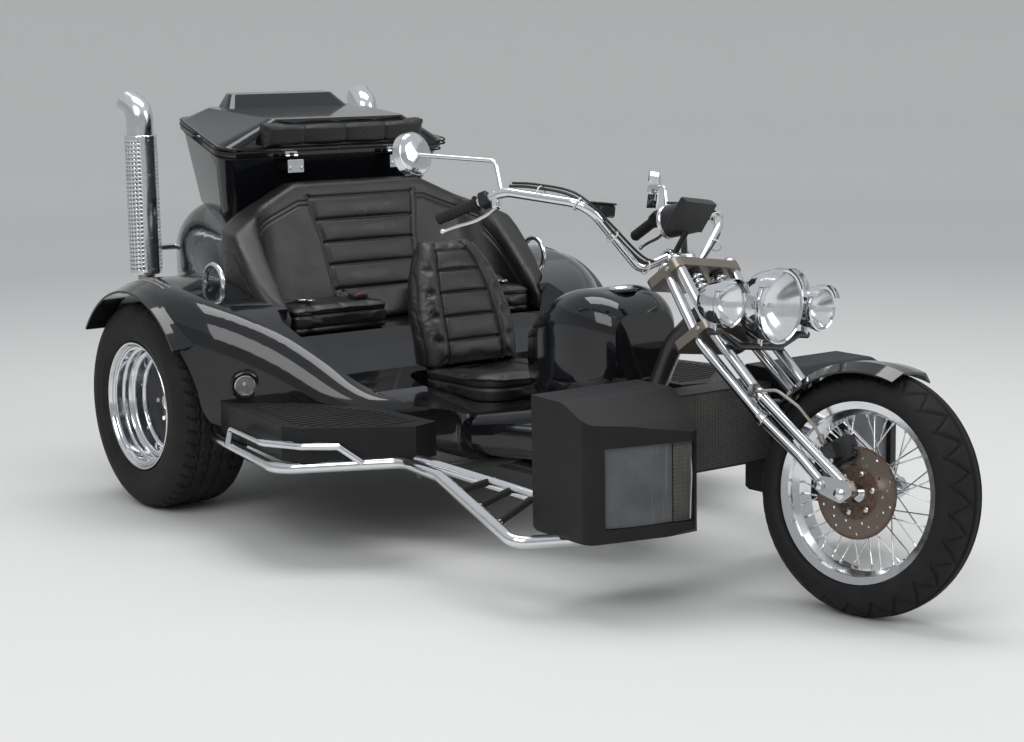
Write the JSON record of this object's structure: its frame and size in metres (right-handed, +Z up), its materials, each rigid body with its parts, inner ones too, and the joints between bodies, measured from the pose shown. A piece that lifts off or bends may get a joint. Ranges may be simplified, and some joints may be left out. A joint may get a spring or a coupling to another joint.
{
  "type": "motorized trike",
  "caption": "Road trike with a raked sprung fork and spoked front wheel, wide rear wheels, wrap-around bench, driver's bucket seat, lidded trunk and exhaust stacks.",
  "frame": {"origin": "on the ground under the middle of the vehicle's length and width", "axes": "+X forward, +Y to the vehicle's left, +Z up"},
  "size_m": [3.3792, 1.7812, 1.3336],
  "materials": {
    "frame_paint": "satin black paint",
    "engine_metal": "plain cast metal",
    "axle_paint": "satin black paint",
    "body_paint": "gloss black clear-coated paint",
    "flare_trim": "gloss black with a light edge",
    "trunk_paint": "gloss black clear-coated paint",
    "bench_leather": "grained black leather",
    "cushion_leather": "grained black leather",
    "pilot_leather": "grained black leather",
    "tank_paint": "gloss black clear-coated paint",
    "housing_plastic": "textured dark grey",
    "core_metal": "dark finned core",
    "plate_grey": "smooth mid grey",
    "step_plastic": "textured black",
    "rail_chrome": "polished",
    "exhaust_chrome": "polished, a little stained",
    "handle_chrome": "polished",
    "marker_glass": "clear lens",
    "tail_glass": "red lens",
    "yoke_metal": "brushed bronze grey",
    "fork_metal": "polished tube",
    "spring_steel": "polished",
    "bar_paint": "satin black",
    "grip_rubber": "ribbed rubber",
    "mirror_chrome": "polished shell with a mirror face",
    "bar_chrome": "polished bar",
    "instrument_black": "black",
    "lamp_chrome": "polished with a clear lens",
    "caliper_metal": "dark cast metal",
    "hose_braid": "braided hose",
    "front_tyre_rubber": "road tread",
    "front_rim_chrome": "polished",
    "disc_steel": "drilled disc with a rusty edge",
    "rear_tyre_rubber": "road tread",
    "rear_rim_chrome": "polished deep dish"
  },
  "bodies": {
    "chassis": {"chassis_frame": "frame_paint", "engine_block": "engine_metal", "rear_axle": "axle_paint", "body_shell": "body_paint", "fender_flares": "flare_trim", "trunk_box": "trunk_paint", "bench_back": "bench_leather", "bench_cushions": "cushion_leather", "pilot_back": "pilot_leather", "pilot_cushion": "pilot_leather", "fuel_tank": "tank_paint", "radiator_housing": "housing_plastic", "radiator_cores": "core_metal", "blanking_plates": "plate_grey", "step_boxes": "step_plastic", "side_rail_right": "rail_chrome", "side_rail_left": "rail_chrome", "exhaust_stacks": "exhaust_chrome", "grab_handles": "handle_chrome", "marker_lamps": "marker_glass", "tail_lamps": "tail_glass", "gear_lever": "handle_chrome"},
    "lid": {"trunk_lid": "trunk_paint", "lid_pad": "bench_leather", "lid_hinges": "handle_chrome"},
    "fork": {"fork_yokes": "yoke_metal", "fork_rear_legs": "fork_metal", "fork_front_legs": "fork_metal", "fork_springs": "spring_steel", "handlebar": "bar_chrome", "hand_grips": "grip_rubber", "mirrors": "mirror_chrome", "gauge_pod": "instrument_black", "device_holder": "instrument_black", "headlamp": "lamp_chrome", "auxiliary_lamps": "lamp_chrome", "lamp_bracket": "bar_paint", "front_fender": "body_paint", "brake_caliper": "caliper_metal", "brake_hose": "hose_braid", "front_axle": "spring_steel"},
    "front_wheel": {"front_tyre": "front_tyre_rubber", "front_wheel_rim": "front_rim_chrome", "brake_disc": "disc_steel"},
    "rear_wheel_right": {"rear_tyre_right": "rear_tyre_rubber", "rear_rim_right": "rear_rim_chrome"},
    "rear_wheel_left": {"rear_tyre_left": "rear_tyre_rubber", "rear_rim_left": "rear_rim_chrome"}
  },
  "joints": [
    {"name": "steering", "type": "hinge", "parent": "chassis", "child": "fork", "pos_m": [1.25324, 0, 0.21746], "axis": [-0.6293, 0, 0.7771], "range_deg": [-47, 23]},
    {"name": "front_wheel_spin", "type": "hinge", "parent": "fork", "child": "front_wheel", "pos_m": [1.37487, 0.03327, 0.31595], "axis": [-0.1616, 0.9781, -0.1308], "continuous": true},
    {"name": "rear_wheel_right_spin", "type": "hinge", "parent": "chassis", "child": "rear_wheel_right", "pos_m": [-0.99742, 0, 0.336], "axis": [0, 1, 0], "continuous": true},
    {"name": "rear_wheel_left_spin", "type": "hinge", "parent": "chassis", "child": "rear_wheel_left", "pos_m": [-0.99742, 0, 0.336], "axis": [0, 1, 0], "continuous": true},
    {"name": "trunk_lid", "type": "hinge", "parent": "chassis", "child": "lid", "pos_m": [-1.02942, 0, 1.112], "axis": [0, 1, 0], "range_deg": [0, 65]}
  ]
}
